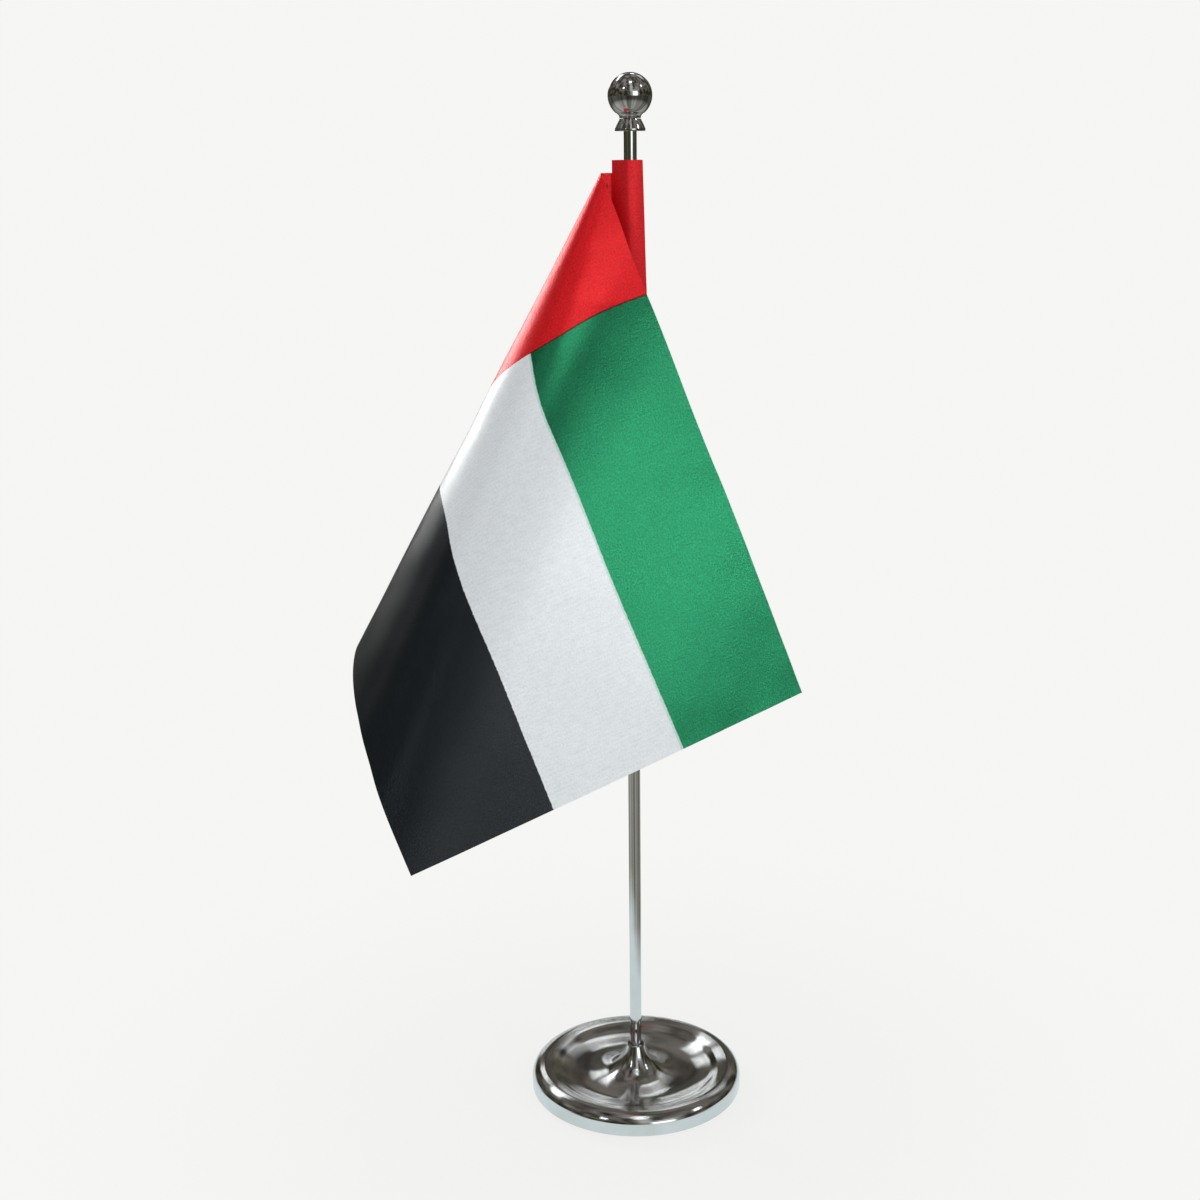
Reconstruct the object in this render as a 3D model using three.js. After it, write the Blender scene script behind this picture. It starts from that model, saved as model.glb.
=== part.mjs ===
// Desk flag stand: a chromed round base, a thin pole with a ball finial, and one printed satin flag
// whose hoist sleeve turns on the pole above a rubber stop ring.
// Millimetres, +Z up. The origin is the centre of the pad's underside, on the pole's axis.
// +X is the viewer's right and -Y is towards the viewer.
import * as THREE from 'three';

// ---- Driving dimensions -------------------------------------------------------------------------
const BASE_RADIUS = 40;          // spun shell, outside
const SHELL_WALL = 0.8;
const SHELL_LIP_Z = 0.6;         // the shell's lower edge; the pad stands proud of it
const SIDE_WALL_TOP_Z = 4.6;
const RIM_WIDTH = 5;             // from the side wall in to the rim's crest
const RIM_HEIGHT = 4.2;          // from the side wall's top up to the crest
const HUB_TOP_Z = 16.8;
const HUB_TOP_RADIUS = 3.3;

const PAD_RADIUS = 38.4;
const PAD_THICKNESS = 1.2;
const PLATE_RADIUS = 38.8;
const PLATE_THICKNESS = 0.8;
const PLATE_Z = 1.5;             // underside of the plate's flat
const PLATE_GAP = 0.3;           // between the plate and the weight over it
const DIMPLE_RADIUS = 5.2;       // raised centre of the plate, over the screw head
const DIMPLE_RISE = 1.6;
const DIMPLE_SLOPE = 1;          // width of the slope round the dimple
const PLATE_HOLE_RADIUS = 1.8;
const WEIGHT_BORE = 8.8;         // round the boss
const WEIGHT_FLAT_RADIUS = 24.5; // the weight is flat inside this, and rises under the rim outside it
const WEIGHT_FLAT_Z = 3.8;
const WEIGHT_GAP = 0.6;          // between the weight and the shell over it
const BOSS_FLANGE_RADIUS = 8;
const BOSS_FLANGE_THICKNESS = 1.2;
const BOSS_NECK_RADIUS = 2.8;
const SCREW_HEAD_RADIUS = 2.6;
const SCREW_HEAD_Z = 1.4;
const SCREW_HEAD_HEIGHT = 1.15;
const SCREW_RECESS_RADIUS = 0.8;
const SCREW_TIP_Z = 8.9;
const WASHER_RADIUS = 3.2;
const WASHER_THICKNESS = 0.35;

const POLE_RADIUS = 2.2;
const POLE_FOOT_Z = 14.3;        // shoulder on the hub boss
const POLE_TOP_Z = 358;          // shoulder under the finial bush
const THREAD_RADIUS = 1.4;       // M3, at both ends of the pole and on the screw
const THREAD_BORE = 1.6;
const POLE_TIP_Z = 364.5;
const POLE_TAIL_Z = 9.6;

const BALL_Z = 368;
const BALL_RADIUS = 7.5;
const BALL_WALL = 0.9;
const BALL_MOUTH_RADIUS = 3.1;   // the opening at the neck, which takes the bush
const NECK_RADIUS = 3.6;
const NECK_Z = 360.6;            // the ball's lower face
const COLLAR_TOP_Z = 360.45;
const COLLAR_LIP_RADIUS = 5.15;
const COLLAR_LIP_HEIGHT = 0.8;
const COLLAR_BOTTOM_Z = 356.4;
const COLLAR_BORE = 3.3;         // round the bush's lip
const COLLAR_NECK_BORE = 2.45;   // round the bush's waist
const COLLAR_SHOULDER_Z = 359.2;
const BUSH_BOTTOM_Z = 358.3;
const BUSH_TOP_Z = 365.6;
const BUSH_LIP_RADIUS = 2.9;
const BUSH_LIP_HEIGHT = 0.6;
const BUSH_WAIST_RADIUS = 2.3;
const BUSH_RADIUS = 3;           // the part inside the ball

const SLEEVE_TOP_Z = 347;
const SLEEVE_BOTTOM_Z = 191;
const SLEEVE_LEFT = -5.9;        // the seam side of the flattened tube
const SLEEVE_RIGHT = 4.4;
const SLEEVE_HALF_DEPTH = 3;
const SLEEVE_WALL = 0.45;
const RING_WIRE_RADIUS = 0.95;   // section of the rubber ring
const RING_BORE = 2.3;
const RING_GAP = 0.3;            // between the ring and the sleeve that rests on it

const HOIST = 150;               // flag, down the pole
const FLY = 194;                 // flag, from the seam to the free edge
const CLOTH_THICKNESS = 0.6;
const SEAM_TOP = new THREE.Vector3(-6.2, 0.3, 342.8);
const STITCH_INSET = 1.8;        // from the seam edge to the stitch line
const THREAD_SIZE = 0.4;
const THREAD_END = 3;            // from each end of the hoist

// The flag hangs as a cone of straight rulings. Its apex lies beyond the top corner of the hoist, and
// the rulings turn with the angle they make with the hoist on the flat cloth. The cloth sets off at
// HEADING, bends round in the two bends below, and comes back in front of the pole.
const APEX_U = -1.1;             // apex on the flat cloth, from the seam
const APEX_V = -8.66;            // apex on the flat cloth, from the top edge
const HEADING = -0.378;          // radians from -X towards +Y, so towards the viewer
const BENDS = [
  { at: 0.542, width: 0.065, turn: -1.6 },
  { at: 0.811, width: 0.11, turn: -1.386 },
];
const BOW = -0.05;               // gentle curvature of the layer after the first bend
const CURVE_STEPS = 1600;
const CURVE_END = 1.6;

const CHAMFER = 0.3;

const ROUND = 48;                // facets of the base
const ROUND_SMALL = 24;          // facets of the pole and the finial
const ROUND_SCREW = 16;

// ---- Helpers ------------------------------------------------------------------------------------
const stand = new THREE.Group();

function add(name, geometry, color, roughness, metalness) {
  const material = new THREE.MeshStandardMaterial({ color, roughness, metalness });
  const mesh = new THREE.Mesh(geometry, material);
  mesh.name = name;
  stand.add(mesh);
}

// Turns an outline of [radius, z] pairs, drawn anticlockwise, about the pole's axis.
function turned(outline, facets) {
  const points = outline.map(([radius, z]) => new THREE.Vector2(radius, z));
  const geometry = new THREE.LatheGeometry(points, facets);
  geometry.rotateX(Math.PI / 2);
  return geometry;
}

function pairs(curve, divisions) {
  return curve.getPoints(divisions).map((point) => [point.x, point.y]);
}

// The same line moved by distance to the left of its direction of travel.
function moved(outline, distance) {
  return outline.map(([radius, z], index) => {
    const before = outline[Math.max(index - 1, 0)];
    const after = outline[Math.min(index + 1, outline.length - 1)];
    const run = [after[0] - before[0], after[1] - before[1]];
    const length = Math.hypot(run[0], run[1]);
    return [radius - (run[1] / length) * distance, z + (run[0] / length) * distance];
  });
}

function ring(innerRadius, outerRadius, bottom, top) {
  return [
    [innerRadius, bottom],
    [outerRadius, bottom],
    [outerRadius, top],
    [innerRadius, top],
    [innerRadius, bottom],
  ];
}

// ---- Base ---------------------------------------------------------------------------------------
const CREST_RADIUS = BASE_RADIUS - RIM_WIDTH;
const CREST_Z = SIDE_WALL_TOP_Z + RIM_HEIGHT;

function shellTopLine() {
  const rim = new THREE.EllipseCurve(
    CREST_RADIUS, SIDE_WALL_TOP_Z, RIM_WIDTH, RIM_HEIGHT, 0, Math.PI / 2);
  const dishAndHub = new THREE.SplineCurve([
    new THREE.Vector2(CREST_RADIUS, CREST_Z),
    new THREE.Vector2(31.6, 8.0),
    new THREE.Vector2(28.2, 6.2),
    new THREE.Vector2(22.5, 5.0),
    new THREE.Vector2(16.5, 5.1),
    new THREE.Vector2(11.2, 6.3),
    new THREE.Vector2(7.4, 8.8),
    new THREE.Vector2(5.0, 12.2),
    new THREE.Vector2(HUB_TOP_RADIUS, HUB_TOP_Z),
  ]);
  return [[BASE_RADIUS, SHELL_LIP_Z], ...pairs(rim, 6), ...pairs(dishAndHub, 16).slice(1)];
}

function baseShell() {
  const outside = shellTopLine();
  const inside = moved(outside, SHELL_WALL).reverse();
  inside[0][1] = HUB_TOP_Z;
  inside[inside.length - 1] = [BASE_RADIUS - SHELL_WALL, SHELL_LIP_Z];
  return turned([...outside, ...inside, outside[0]], ROUND);
}

// A cast ring that fills the shell's rim and thins to a flat disc under the dish.
function baseWeight() {
  const bottom = PLATE_Z + PLATE_THICKNESS + PLATE_GAP;
  const underShell = moved(shellTopLine(), SHELL_WALL + WEIGHT_GAP)
    .filter(([radius, z]) => radius > WEIGHT_FLAT_RADIUS + 1 && z > bottom);
  const outerRadius = underShell[0][0];
  return turned([
    [WEIGHT_BORE, bottom],
    [outerRadius, bottom],
    ...underShell,
    [WEIGHT_FLAT_RADIUS, WEIGHT_FLAT_Z],
    [WEIGHT_BORE, WEIGHT_FLAT_Z],
    [WEIGHT_BORE, bottom],
  ], ROUND);
}

function basePlate() {
  const top = PLATE_Z + PLATE_THICKNESS;
  const foot = DIMPLE_RADIUS + DIMPLE_SLOPE;
  const slopeWall = 0.6;           // the slope's thickness, measured level
  return turned([
    [PLATE_HOLE_RADIUS, PLATE_Z + DIMPLE_RISE],
    [DIMPLE_RADIUS, PLATE_Z + DIMPLE_RISE],
    [foot, PLATE_Z],
    [PLATE_RADIUS, PLATE_Z],
    [PLATE_RADIUS, top],
    [foot + slopeWall, top],
    [DIMPLE_RADIUS + slopeWall, top + DIMPLE_RISE],
    [PLATE_HOLE_RADIUS, top + DIMPLE_RISE],
    [PLATE_HOLE_RADIUS, PLATE_Z + DIMPLE_RISE],
  ], ROUND);
}

function basePad() {
  return turned([
    [0, 0],
    [PAD_RADIUS - CHAMFER, 0],
    [PAD_RADIUS, CHAMFER],
    [PAD_RADIUS, PAD_THICKNESS],
    [0, PAD_THICKNESS],
  ], ROUND);
}

const BOSS_BOTTOM_Z = PLATE_Z + PLATE_THICKNESS + DIMPLE_RISE + 0.2;

function hubBoss() {
  const flangeTop = BOSS_BOTTOM_Z + BOSS_FLANGE_THICKNESS;
  const fillet = 0.6;
  const top = POLE_FOOT_Z - 0.2;
  return turned([
    [THREAD_BORE, BOSS_BOTTOM_Z],
    [BOSS_FLANGE_RADIUS, BOSS_BOTTOM_Z],
    [BOSS_FLANGE_RADIUS, flangeTop],
    [BOSS_NECK_RADIUS, flangeTop + fillet],
    [BOSS_NECK_RADIUS, top],
    [THREAD_BORE, top],
    [THREAD_BORE, BOSS_BOTTOM_Z],
  ], ROUND_SMALL);
}

function bossScrew() {
  const headTop = SCREW_HEAD_Z + SCREW_HEAD_HEIGHT;
  const dome = 0.5;                // the head's round edge, and the recess's depth
  return turned([
    [0, SCREW_HEAD_Z + dome],
    [SCREW_RECESS_RADIUS, SCREW_HEAD_Z],
    [SCREW_HEAD_RADIUS - dome, SCREW_HEAD_Z],
    [SCREW_HEAD_RADIUS, SCREW_HEAD_Z + dome],
    [SCREW_HEAD_RADIUS, headTop],
    [THREAD_RADIUS, headTop],
    [THREAD_RADIUS, SCREW_TIP_Z - dome],
    [THREAD_RADIUS - CHAMFER, SCREW_TIP_Z],
    [0, SCREW_TIP_Z],
  ], ROUND_SCREW);
}

function screwWasher() {
  const bottom = SCREW_HEAD_Z + SCREW_HEAD_HEIGHT + 0.1;
  return turned(ring(THREAD_BORE, WASHER_RADIUS, bottom, bottom + WASHER_THICKNESS), ROUND_SCREW);
}

add('base_pad', basePad(), 0x1b1c1d, 0.95, 0);
add('base_plate', basePlate(), 0x8c8f91, 0.45, 1);
add('base_weight', baseWeight(), 0x4a4a4c, 0.7, 0.9);
add('base_shell', baseShell(), 0xc9cdd0, 0.05, 1);
add('hub_boss', hubBoss(), 0xb08d4a, 0.35, 1);
add('boss_screw', bossScrew(), 0x9a9da0, 0.4, 1);
add('screw_washer', screwWasher(), 0x9a9da0, 0.4, 1);

// ---- Pole ---------------------------------------------------------------------------------------
function pole() {
  return turned([
    [0, POLE_TAIL_Z],
    [THREAD_RADIUS - CHAMFER, POLE_TAIL_Z],
    [THREAD_RADIUS, POLE_TAIL_Z + CHAMFER],
    [THREAD_RADIUS, POLE_FOOT_Z],
    [POLE_RADIUS, POLE_FOOT_Z],
    [POLE_RADIUS, POLE_TOP_Z],
    [THREAD_RADIUS, POLE_TOP_Z],
    [THREAD_RADIUS, POLE_TIP_Z - CHAMFER],
    [THREAD_RADIUS - CHAMFER, POLE_TIP_Z],
    [0, POLE_TIP_Z],
  ], ROUND_SMALL);
}

function stopRing() {
  const centreRadius = RING_BORE + RING_WIRE_RADIUS;
  const centreZ = SLEEVE_BOTTOM_Z - RING_GAP - RING_WIRE_RADIUS;
  const section = new THREE.EllipseCurve(
    centreRadius, centreZ, RING_WIRE_RADIUS, RING_WIRE_RADIUS, 0, 2 * Math.PI);
  const outline = pairs(section, 8);
  outline[outline.length - 1] = outline[0];
  return turned(outline, ROUND_SMALL);
}

add('pole', pole(), 0xc9cdd0, 0.06, 1);
add('stop_ring', stopRing(), 0x1a1a1b, 0.8, 0);

// ---- Finial -------------------------------------------------------------------------------------
// The ball is hollow, and opens at its neck. The threaded bush is pressed into that neck; its lower
// lip holds the bell-shaped collar, which can turn on it.
function finialBall() {
  const neckAngle = -0.84;         // where the neck's curve leaves the sphere
  const sphere = new THREE.EllipseCurve(0, BALL_Z, BALL_RADIUS, BALL_RADIUS, neckAngle, Math.PI / 2);
  const round = pairs(sphere, 12);
  round[round.length - 1][0] = 0;
  const neck = new THREE.SplineCurve([
    new THREE.Vector2(NECK_RADIUS, NECK_Z),
    new THREE.Vector2(3.75, NECK_Z + 0.75),
    new THREE.Vector2(4.3, NECK_Z + 1.4),
    new THREE.Vector2(...round[0]),
  ]);
  const hollow = BALL_RADIUS - BALL_WALL;
  const mouthAngle = -Math.acos(BALL_MOUTH_RADIUS / hollow);
  const cavity = pairs(
    new THREE.EllipseCurve(0, BALL_Z, hollow, hollow, Math.PI / 2, mouthAngle, true), 8);
  cavity[0][0] = 0;
  const outside = [...pairs(neck, 4), ...round.slice(1)];
  return turned([...outside, ...cavity, [BALL_MOUTH_RADIUS, NECK_Z], outside[0]], ROUND_SMALL);
}

function finialBush() {
  const lipTop = BUSH_BOTTOM_Z + BUSH_LIP_HEIGHT;
  const shoulder = NECK_Z + 0.2;
  const bevel = 0.6;
  const endWall = 0.6;
  return turned([
    [THREAD_BORE, BUSH_BOTTOM_Z],
    [BUSH_LIP_RADIUS, BUSH_BOTTOM_Z],
    [BUSH_LIP_RADIUS, lipTop],
    [BUSH_WAIST_RADIUS, lipTop],
    [BUSH_WAIST_RADIUS, shoulder],
    [BUSH_RADIUS, shoulder],
    [BUSH_RADIUS, BUSH_TOP_Z - 2 * bevel],
    [BUSH_RADIUS - bevel, BUSH_TOP_Z],
    [0, BUSH_TOP_Z],
    [0, BUSH_TOP_Z - endWall],
    [THREAD_BORE, BUSH_TOP_Z - endWall],
    [THREAD_BORE, BUSH_BOTTOM_Z],
  ], ROUND_SMALL);
}

function finialCollar() {
  const lipTop = COLLAR_BOTTOM_Z + COLLAR_LIP_HEIGHT;
  const flare = new THREE.SplineCurve([
    new THREE.Vector2(COLLAR_LIP_RADIUS, lipTop),
    new THREE.Vector2(4.55, lipTop + 1.4),
    new THREE.Vector2(3.95, lipTop + 2.5),
    new THREE.Vector2(NECK_RADIUS, COLLAR_TOP_Z),
  ]);
  return turned([
    [COLLAR_BORE, COLLAR_BOTTOM_Z],
    [COLLAR_LIP_RADIUS - CHAMFER, COLLAR_BOTTOM_Z],
    [COLLAR_LIP_RADIUS, COLLAR_BOTTOM_Z + CHAMFER],
    ...pairs(flare, 4),
    [COLLAR_NECK_BORE, COLLAR_TOP_Z],
    [COLLAR_NECK_BORE, COLLAR_SHOULDER_Z],
    [COLLAR_BORE, COLLAR_SHOULDER_Z],
    [COLLAR_BORE, COLLAR_BOTTOM_Z],
  ], ROUND_SMALL);
}

add('finial_ball', finialBall(), 0xc9cdd0, 0.05, 1);
add('finial_bush', finialBush(), 0xb08d4a, 0.35, 1);
add('finial_collar', finialCollar(), 0xc9cdd0, 0.05, 1);

// ---- Flag ---------------------------------------------------------------------------------------
function sleeveOutline(inset) {
  const depth = SLEEVE_HALF_DEPTH - inset;
  const left = SLEEVE_LEFT + inset;
  const right = SLEEVE_RIGHT - inset;
  const front = [[left, 0], [-3.4, -0.62 * depth], [0, -depth], [2.8, -0.72 * depth], [right, 0]];
  const back = front.slice(1, -1).reverse().map(([x, y]) => [x, -y]);
  return [...front, ...back].map(([x, y]) => new THREE.Vector2(x, y));
}

function hoistSleeve() {
  const smooth = (points) => new THREE.SplineCurve([...points, points[0]]).getPoints(32).slice(0, -1);
  const shape = new THREE.Shape(smooth(sleeveOutline(0)));
  shape.holes.push(new THREE.Path(smooth(sleeveOutline(SLEEVE_WALL)).reverse()));
  const geometry = new THREE.ExtrudeGeometry(
    shape, { depth: SLEEVE_TOP_Z - SLEEVE_BOTTOM_Z, bevelEnabled: false });
  geometry.translate(0, 0, SLEEVE_BOTTOM_Z);
  return geometry;
}

function bending(angle) {
  const bow = angle < BENDS[0].at ? 0 : BOW;
  return BENDS.reduce((sum, { at, width, turn }) => {
    const offset = (angle - at) / width;
    return sum + (turn / (width * Math.sqrt(Math.PI))) * Math.exp(-offset * offset);
  }, bow);
}

// Directions of the rulings and the cloth's normals, for equal steps of the ruling angle.
function rulings() {
  const step = CURVE_END / CURVE_STEPS;
  let along = new THREE.Vector3(0, 0, -1);
  let across = new THREE.Vector3(-Math.cos(HEADING), Math.sin(HEADING), 0);
  const table = [];
  for (let index = 0; index <= CURVE_STEPS; index += 1) {
    const normal = along.clone().cross(across);
    table.push({ along: along.clone(), normal });
    const turn = bending((index + 0.5) * step) * step;
    const swung = across.clone().multiplyScalar(Math.cos(turn)).addScaledVector(normal, Math.sin(turn));
    const next = along.clone().multiplyScalar(Math.cos(step)).addScaledVector(swung, Math.sin(step));
    across = swung.multiplyScalar(Math.cos(step)).addScaledVector(along, -Math.sin(step)).normalize();
    along = next.normalize();
  }
  return table;
}

const RULINGS = rulings();

function rulingAt(angle) {
  const place = (angle / CURVE_END) * CURVE_STEPS;
  const low = Math.floor(place);
  const share = place - low;
  const mix = (key) => RULINGS[low][key].clone().lerp(RULINGS[low + 1][key], share).normalize();
  return { along: mix('along'), normal: mix('normal') };
}

function fromApex(u, v) {
  const angle = Math.atan2(u - APEX_U, v - APEX_V);
  const { along, normal } = rulingAt(angle);
  return { place: along.multiplyScalar(Math.hypot(u - APEX_U, v - APEX_V)), normal };
}

const APEX = SEAM_TOP.clone().sub(fromApex(0, 0).place);

// Where the point u along the fly and v down the hoist hangs, moved off the cloth's middle by offset.
function hung(u, v, offset) {
  const { place, normal } = fromApex(u, v);
  return place.add(APEX).addScaledVector(normal, offset);
}

// The stretch of one ruling that lies on the cloth, as distances from the apex.
function stretch(angle) {
  const sine = Math.sin(angle);
  const cosine = Math.cos(angle);
  const start = Math.max(-APEX_U / sine, -APEX_V / cosine);
  const end = Math.min((FLY - APEX_U) / sine, (HOIST - APEX_V) / cosine);
  return [start, end];
}

// The angles of the rulings that the mesh follows: close together round the fold, wide apart
// elsewhere, and one through each corner of the cloth.
function rulingAngles() {
  const corner = (u, v) => Math.atan2(u - APEX_U, v - APEX_V);
  const first = corner(0, HOIST);
  const last = corner(FLY, 0);
  const [foldStart, foldEnd] = [0.42, 1];
  const [wide, close] = [0.06, 0.0225];
  const angles = [first, corner(0, 0), corner(FLY, HOIST), last];
  for (let angle = first + 0.04; angle < last; angle += angle > foldStart && angle < foldEnd ? close : wide) {
    angles.push(angle);
  }
  const sorted = angles.sort((one, other) => one - other);
  return sorted.filter((angle, index) => index === 0 || angle - sorted[index - 1] > 1e-6);
}

function flagCloth() {
  const segments = 5;
  const angles = rulingAngles();
  const positions = [];
  const rows = angles.map((angle, column) => {
    const [start, end] = stretch(angle);
    const closed = column === 0 || column === angles.length - 1;
    return [CLOTH_THICKNESS / 2, -CLOTH_THICKNESS / 2].map((offset) => {
      const ids = [];
      for (let step = 0; step <= segments; step += 1) {
        if (closed && step > 0) {
          ids.push(ids[0]);
        } else {
          const reach = start + ((end - start) * step) / segments;
          const u = APEX_U + reach * Math.sin(angle);
          const v = APEX_V + reach * Math.cos(angle);
          ids.push(positions.length / 3);
          positions.push(...hung(u, v, offset).toArray());
        }
      }
      return ids;
    });
  });
  const index = [];
  const quad = (a, b, c, d) => {
    if (a !== b && b !== c && a !== c) index.push(a, b, c);
    if (a !== c && c !== d && a !== d) index.push(a, c, d);
  };
  for (let column = 0; column + 1 < rows.length; column += 1) {
    const [top, bottom] = rows[column];
    const [nextTop, nextBottom] = rows[column + 1];
    for (let step = 0; step < segments; step += 1) {
      quad(top[step], top[step + 1], nextTop[step + 1], nextTop[step]);
      quad(bottom[step], nextBottom[step], nextBottom[step + 1], bottom[step + 1]);
    }
    quad(top[0], nextTop[0], nextBottom[0], bottom[0]);
    quad(top[segments], bottom[segments], nextBottom[segments], nextTop[segments]);
  }
  const geometry = new THREE.BufferGeometry();
  geometry.setAttribute('position', new THREE.Float32BufferAttribute(positions, 3));
  geometry.setIndex(index);
  return geometry;
}

// One thread of the lockstitch, as a thin bar on one face of the cloth.
function seamThread(side) {
  const length = HOIST - 2 * THREAD_END;
  const offset = side * (CLOTH_THICKNESS / 2 + 0.1 + THREAD_SIZE / 2);
  const geometry = new THREE.BoxGeometry(THREAD_SIZE, THREAD_SIZE, length);
  const middle = hung(STITCH_INSET, HOIST / 2, offset);
  geometry.rotateZ(-HEADING);
  geometry.translate(middle.x, middle.y, middle.z);
  return geometry;
}

add('hoist_sleeve', hoistSleeve(), 0xb3171c, 0.55, 0);
add('flag_cloth', flagCloth(), 0xc8cdd2, 0.5, 0);
add('seam_needle_thread', seamThread(1), 0xa81418, 0.8, 0);
add('seam_bobbin_thread', seamThread(-1), 0xa81418, 0.8, 0);

export default stand;
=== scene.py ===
"""Looks of the desk flag stand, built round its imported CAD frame. Metres, +Z up."""
import math

import bpy
import numpy as np
from mathutils import Matrix, Vector

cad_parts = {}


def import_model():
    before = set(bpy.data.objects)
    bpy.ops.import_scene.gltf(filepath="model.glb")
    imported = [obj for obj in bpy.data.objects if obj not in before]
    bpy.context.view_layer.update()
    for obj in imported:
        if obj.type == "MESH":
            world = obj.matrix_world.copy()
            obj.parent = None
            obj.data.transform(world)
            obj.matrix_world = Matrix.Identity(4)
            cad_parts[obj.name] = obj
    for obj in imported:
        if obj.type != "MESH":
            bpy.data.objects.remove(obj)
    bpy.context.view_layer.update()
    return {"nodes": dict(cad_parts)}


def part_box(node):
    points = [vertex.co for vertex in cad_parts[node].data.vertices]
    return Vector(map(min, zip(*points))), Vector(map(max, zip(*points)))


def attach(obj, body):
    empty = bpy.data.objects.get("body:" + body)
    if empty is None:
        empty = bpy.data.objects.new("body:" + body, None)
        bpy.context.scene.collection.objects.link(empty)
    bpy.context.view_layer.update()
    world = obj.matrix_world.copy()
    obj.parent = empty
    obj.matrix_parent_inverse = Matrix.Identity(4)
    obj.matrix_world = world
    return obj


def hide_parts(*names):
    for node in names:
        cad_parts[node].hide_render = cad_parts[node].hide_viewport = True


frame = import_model()

# ---- Camera ------------------------------------------------------------------------------------
CAMERA_PLACE = Vector((-0.0119, -0.616, 0.3585))
CAMERA_PITCH = math.radians(15.0)      # below the horizon
CAMERA_ROLL = 0.0113                   # radians, right side of the view lifted
LENS_MM = 53.19
SENSOR_MM = 36.0

# ---- Base, pole and finial ---------------------------------------------------------------------
GROOVES = 26000.0                      # radians of the turning lines' wave to a metre of radius
SPLINE_STEPS = 8                       # to each span of a drawn curve
SHELL_WALL = 0.0008
LIP = 0.0003                           # radius of the shell's lower edge
LIP_STEPS = 4
SIDE_WALL_TOP = 0.0046
RIM_WIDTH = 0.005
RIM_HEIGHT = 0.0042
HUB_TOP_RADIUS = 0.0033
HUB_EDGE = 0.0002
# The dish between the rim's crest and the hub, and the hub's flank, as radius and height.
DISH = [(0.0316, 0.0080), (0.0282, 0.0062), (0.0225, 0.0050), (0.0165, 0.0051),
        (0.0112, 0.0063), (0.0074, 0.0088), (0.0050, 0.0122)]
THREAD_RADIUS = 0.0014
THREAD_PITCH = 0.0005
THREAD_DEPTH = 0.00012
FOOT_THREAD = 0.0047                   # lengths of the pole's threaded ends
TIP_THREAD = 0.0065
POLE_BEVEL = 0.0003
RELIEF_LENGTH = 0.0004                 # of the plain stretch between a thread and its shoulder
RELIEF_DEPTH = 0.0002
NECK_RADIUS = 0.0036
NECK_START = -0.84                     # angle on the ball where its neck begins
NECK_CURVE = [(0.00375, 0.00075), (0.0043, 0.0014)]     # radius, and height above the ball's foot
BALL_WALL = 0.0009
BALL_MOUTH = 0.0031
BALL_EDGE = 0.00012
COLLAR_LIP = 0.0008                    # height of the collar's upright lip
COLLAR_CURVE = [(0.00455, 0.0022), (0.00395, 0.0033)]   # radius, and height above the collar's foot
COLLAR_BORE = 0.0033                   # round the bush's lip
COLLAR_NECK_BORE = 0.00245             # round the bush's waist
COLLAR_STEP = 0.0028                   # height of the step between the two bores

# ---- Flag --------------------------------------------------------------------------------------
HOIST = 0.150
FLY = 0.194
SEAM_TOP = Vector((-0.0062, 0.0003, 0.3428))
APEX_U = -0.0011
APEX_V = -0.00866
HEADING = -0.378
BENDS = [(0.542, 0.065, -1.6), (0.811, 0.11, -1.386)]   # angle, width and turn of each bend
BOW = -0.05
CURVE_END = 1.6
CURVE_STEPS = 3200
CLOTH = 0.00022                        # thickness
TUCK = 0.0008                          # how far the cloth reaches into the sleeve's seam

# Soft folds beside the bend. Each runs along the ridge line, at a distance from it, with a width and
# a height. The line starts on the top edge and its angle is measured from the hoist.
RIDGE_START = 0.025
RIDGE_ANGLE = math.radians(39.4)
FOLDS = [(-0.0090, 0.0045, 0.0003), (0.0060, 0.0055, 0.00045), (0.002, 0.014, 0.0006),
         (0.007, 0.018, 0.0013), (0.052, 0.016, 0.0006), (0.092, 0.018, -0.0005)]

# Where the printed bands meet on the flat cloth, with a swell or dip as height, place and width.
RED_EDGE, RED_SWELL = 0.0492, (0.0036, 0.042, 0.018)
GREEN_EDGE, GREEN_DIP = 0.0511, (-0.0034, 0.050, 0.013)
BLACK_EDGE, BLACK_DIP = 0.0995, (-0.0024, 0.086, 0.018)
DROOP = (0.110, -0.21)                 # the green edge falls off past this place, by the square

SLEEVE_REACH = 0.0006                  # further towards the flag than the CAD sleeve
SLEEVE_LEAN = 0.0013                   # of the other edge, outward below its top third
SLEEVE_ROUND = 0.0258                  # once round the tube
STITCH_INSET = 0.0018
STITCH_PITCH = 0.0026
STITCH_LENGTH = 0.0019
STITCH_RADIUS = 0.00016
STITCH_END = 0.003                     # from the seam's ends to its first and last stitch
STITCH_LEAN = 0.00015
SLEEVE_CLOTH = 0.00024                 # thickness
SLEEVE_CREASE = 0.0002                 # least half depth at the two creases
SLEEVE_GAP = 0.00012                   # least gap to the pole
SLEEVE_PINCH = 0.06
SLEEVE_SWAYS = [(0.00012, 6.2 * math.pi, 0.4 * math.pi), (0.00008, 23.0, 1.0)]   # size, rate and phase


# ---- Mesh helpers ------------------------------------------------------------------------------
def new_object(name, vertices, faces, smooth_angle=40.0, uvs=None):
    mesh = bpy.data.meshes.new(name)
    mesh.from_pydata([tuple(v) for v in vertices], [], [tuple(f) for f in faces])
    mesh.validate()
    mesh.update()
    mesh.shade_smooth()
    mesh.set_sharp_from_angle(angle=math.radians(smooth_angle))
    if uvs is not None:
        layer = mesh.uv_layers.new(name="Flat")
        corner_vertices = np.zeros(len(mesh.loops), np.int32)
        mesh.loops.foreach_get("vertex_index", corner_vertices)
        layer.data.foreach_set("uv", np.asarray(uvs, np.float32)[corner_vertices].ravel())
    made = bpy.data.objects.new(name, mesh)
    bpy.context.scene.collection.objects.link(made)
    return made


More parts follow.
